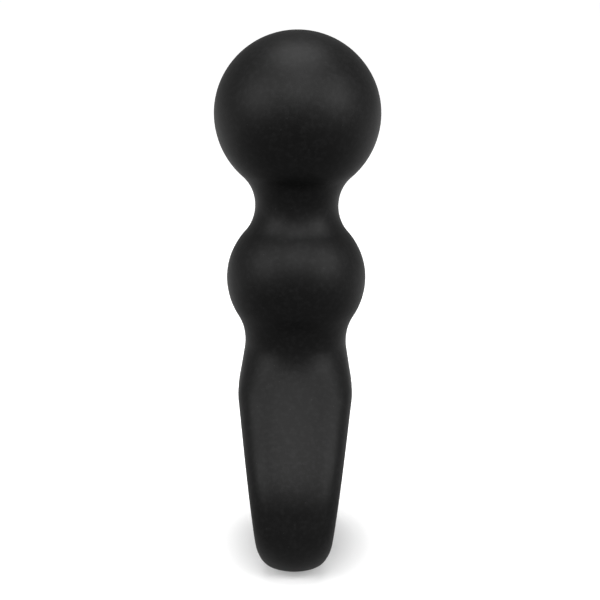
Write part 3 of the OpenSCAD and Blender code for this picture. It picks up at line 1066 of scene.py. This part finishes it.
class InnerWorks:
    """The CAD pieces that stay as they are: each is dressed in the finish of its material slot."""

    def __init__(self, materials: dict[str, bpy.types.Material]) -> None:
        """Reads which slot each CAD piece takes its finish from."""
        self.materials = materials
        self.slots = {part["node"]: part["material_slot"] for part in frame["record"]["subparts"]}

    def dress(self) -> int:
        """Gives every CAD piece its finish.

        Returns:
            How many pieces were dressed.
        """
        for name, piece in frame["nodes"].items():
            material = self.materials[self.slots[name]]
            if not piece.material_slots:
                piece.data.materials.append(material)
            for place in piece.material_slots:
                place.material = material
        return len(frame["nodes"])


# ---------------------------------------------------------------- studio


class Lamp(Enum):
    """Where each softbox stands, in metres: place, width, height and power in watts."""

    OVERHEAD = ((0.0, 0.02, 0.80), 0.60, 0.50, 3.7)
    FRONT = ((0.0, -0.56, 0.60), 0.56, 0.34, 2.7)
    LEFT = ((-0.66, -0.38, 0.48), 0.56, 0.50, 3.3)
    RIGHT = ((0.66, -0.38, 0.48), 0.56, 0.50, 4.0)


@dataclass
class Studio:
    """A pale floor, a white backdrop, soft lamps and the camera. Lengths are in metres."""

    target: Vector = field(default_factory=lambda: Vector((0.0, 0.0, 0.07)))
    distance: float = 0.70
    elevation: float = 12.0
    roll: float = 0.5
    lens: float = 157.5
    sensor: float = 36.0
    clip: float = 0.01
    shift: tuple[float, float] = (0.0067, -0.0038)
    floor_half: float = 3.0
    floor_grey: float = 0.6
    # Painted shade: reflected and bounced rays see a darker floor grey than the camera does, which
    # darkens the object's undersides.
    painted_shade_floor_grey: float = 0.2
    floor_roughness: float = 0.9
    floor_specular: float = 0.1
    # Painted shadow: the glow the camera sees is held low in an oval round the foot, set a little right
    # and back, and rises to white further out.
    white_glow_with_painted_shadow: tuple[float, float] = (0.18, 0.9)
    painted_shadow_reach: tuple[float, float] = (0.008, 0.032)
    painted_shadow_shift: Point = (-0.002, -0.004, 0.0)
    painted_shadow_scale: Point = (1.0, 0.45, 1.0)
    # Painted reflections: the floor glows for reflected rays only, brighter towards the back and round
    # the foot, which lights the foot's lower side.
    painted_reflection_sweep: float = 0.65
    painted_reflection_aside: float = 0.4
    painted_reflection_reach: tuple[float, float] = (0.0, 0.3)
    painted_foot_reflection: float = 0.25
    painted_foot_reflection_reach: tuple[float, float] = (0.02, 0.07)
    room: float = 0.12
    sides: float = 0.12
    backdrop: float = 0.32
    backdrop_reach: tuple[float, float] = (-0.2, 0.5)
    high: float = 0.3
    high_reach: tuple[float, float] = (0.05, 0.6)

    def build_camera(self) -> bpy.types.Object:
        """Makes the camera at the viewing angle.

        Returns:
            The scene's camera.
        """
        data = bpy.data.cameras.new("camera")
        data.sensor_width = self.sensor
        data.lens = self.lens
        data.shift_x, data.shift_y = self.shift
        data.clip_start = self.clip
        camera = bpy.data.objects.new("camera", data)
        bpy.context.scene.collection.objects.link(camera)
        tilt = math.radians(self.elevation)
        forward = Vector((0.0, math.cos(tilt), -math.sin(tilt)))
        camera.location = self.target - forward * self.distance
        roll = Matrix.Rotation(math.radians(self.roll), 3, "Z")
        camera.rotation_euler = (forward.to_track_quat("-Z", "Y").to_matrix() @ roll).to_euler()
        bpy.context.scene.camera = camera
        return camera

    def build_lamps(self) -> None:
        """Hangs the softboxes, all facing the object."""
        for lamp in Lamp:
            place, width, height, power = lamp.value
            data = bpy.data.lights.new(lamp.name.lower() + "_softbox", "AREA")
            data.shape = "RECTANGLE"
            data.size, data.size_y, data.energy = width, height, power
            light = bpy.data.objects.new(data.name, data)
            bpy.context.scene.collection.objects.link(light)
            light.location = place
            light.rotation_euler = (self.target - Vector(place)).to_track_quat("-Z", "Y").to_euler()

    @staticmethod
    def mirrored(nodes: Nodes, rays: bpy.types.Node) -> bpy.types.NodeSocket:
        """Returns a mask of the rays that a surface has reflected or passed on."""
        return nodes.math("MAXIMUM", rays.outputs["Is Glossy Ray"], rays.outputs["Is Transmission Ray"])

    def build_world(self) -> None:
        """Makes the backdrop: white where the camera sees it, and a dimmer room for everything else."""
        world = bpy.data.worlds.new("studio")
        bpy.context.scene.world = world
        world.use_nodes = True
        nodes = Nodes(world.node_tree)
        out = world.node_tree.nodes["World Output"]
        room = world.node_tree.nodes["Background"]
        room.inputs["Color"].default_value = WHITE
        room.inputs["Strength"].default_value = self.room
        sky = nodes.add("Background", {"Color": WHITE, "Strength": 1.0})
        where = nodes.add("SeparateXYZ", {"Vector": nodes.add("TexCoord").outputs["Generated"]})
        behind = nodes.spread(where.outputs[1], *self.backdrop_reach, self.sides, self.backdrop)
        low = nodes.spread(where.outputs[2], *self.high_reach, 1.0, self.high)
        rays = nodes.add("LightPath")
        seen = nodes.math("MULTIPLY", self.mirrored(nodes, rays), nodes.math("MULTIPLY", behind, low))
        white = nodes.math("MAXIMUM", rays.outputs["Is Camera Ray"], seen)
        mixed = nodes.add("MixShader", {0: white, 1: room.outputs[0], 2: sky.outputs[0]})
        nodes.link(mixed.outputs[0], out, "Surface")

    def build_floor(self) -> bpy.types.Object:
        """Makes the pale floor: it keeps the shadow near the object and goes white further out; round the
        foot it carries a painted shadow, and reflections see a painted glow and a darker painted grey.

        Returns:
            The floor, staged with the studio.
        """
        h = self.floor_half
        corners = [(-h, -h, 0.0), (h, -h, 0.0), (h, h, 0.0), (-h, h, 0.0)]
        floor = link_mesh("floor", corners, [(0, 1, 2, 3)])
        material = bpy.data.materials.new("pale_floor")
        material.use_nodes = True
        nodes = Nodes(material.node_tree)
        shader = material.node_tree.nodes["Principled BSDF"]
        shader.inputs["Roughness"].default_value = self.floor_roughness
        shader.inputs["Specular IOR Level"].default_value = self.floor_specular
        place = nodes.add("TexCoord").outputs["Object"]
        spot = nodes.add("SeparateXYZ", {"Vector": place})
        aside = nodes.math("MULTIPLY", nodes.math("ABSOLUTE", spot.outputs[0]), self.painted_reflection_aside)
        behind = nodes.math("ADD", spot.outputs[1], aside)
        # Painted shadow: an oval round the foot where the floor's white glow stays low, so the floor
        # there is darker.
        painted_shadow_place = {"Vector": place, "Location": self.painted_shadow_shift, "Scale": self.painted_shadow_scale}
        painted_shadow_pool = nodes.add("Mapping", painted_shadow_place)
        edge = nodes.add("VectorMath", {0: painted_shadow_pool.outputs[0]}, operation="LENGTH").outputs["Value"]
        near = nodes.spread(edge, *self.painted_shadow_reach, *self.white_glow_with_painted_shadow)
        # Painted reflections: a glow seen only in the object's reflections, rising towards the back and
        # near the foot.
        painted_reflection_behind = nodes.spread(behind, *self.painted_reflection_reach, 0.0, self.painted_reflection_sweep)
        painted_reflection_near_foot = nodes.spread(edge, *self.painted_foot_reflection_reach, self.painted_foot_reflection, 0.0)
        rays = nodes.add("LightPath")
        # Painted shade: the camera sees the pale grey, every other ray the darker grey, which darkens the
        # object's undersides.
        greys = [(grey, grey, grey, 1.0) for grey in (self.painted_shade_floor_grey, self.floor_grey)]
        nodes.link(nodes.mix(rays.outputs["Is Camera Ray"], *greys), shader, "Base Color")
        # Painted shadow: the glow the camera sees goes from dim at the foot to white further out.
        seen_glow_with_painted_shadow = nodes.math("MULTIPLY", rays.outputs["Is Camera Ray"], near)
        # Painted reflections: this glow is added for reflected rays only, on top of the camera's glow.
        painted_reflection_glow = nodes.math("MAXIMUM", painted_reflection_behind, painted_reflection_near_foot)
        glow_with_painted_shadow_and_reflections = nodes.math("ADD", seen_glow_with_painted_shadow, nodes.math("MULTIPLY", self.mirrored(nodes, rays), painted_reflection_glow))
        white = nodes.add("Emission", {"Color": WHITE, "Strength": glow_with_painted_shadow_and_reflections})
        both = nodes.add("AddShader", {0: shader.outputs[0], 1: white.outputs[0]})
        nodes.link(both.outputs[0], material.node_tree.nodes["Material Output"], "Surface")
        floor.data.materials.append(material)
        return floor

    def build(self) -> None:
        """Builds the whole studio."""
        self.build_camera()
        self.build_lamps()
        self.build_world()
        self.build_floor()
        view = bpy.context.scene.view_settings
        view.view_transform = "Standard"


# ---------------------------------------------------------------- assembly


def main() -> None:
    """Builds the studio, the skin and the fittings, and dresses every piece."""
    logging.basicConfig(level=logging.INFO, format="%(name)s: %(message)s")
    Studio().build()
    effects = Effects()
    materials = {slot: finish.material(effects) for slot, finish in FINISHES.items()}
    log.info("inner pieces dressed: %d", InnerWorks(materials).dress())
    skin = SiliconeSkin().build()
    skin.data.materials.append(materials["silicone"])
    fittings = ButtonSet()
    ring = fittings.build_ring()
    ring.data.materials.append(materials["light_diffuser"])
    button = fittings.build_button()
    button.data.materials.append(materials["button_plastic"])
    for pin in fittings.build_contacts():
        pin.data.materials.append(materials["contact_gold"])
    for piece in (skin, ring, button):
        log.info("%s: %d corners", piece.name, len(piece.data.vertices))


if __name__ == "__main__":
    main()
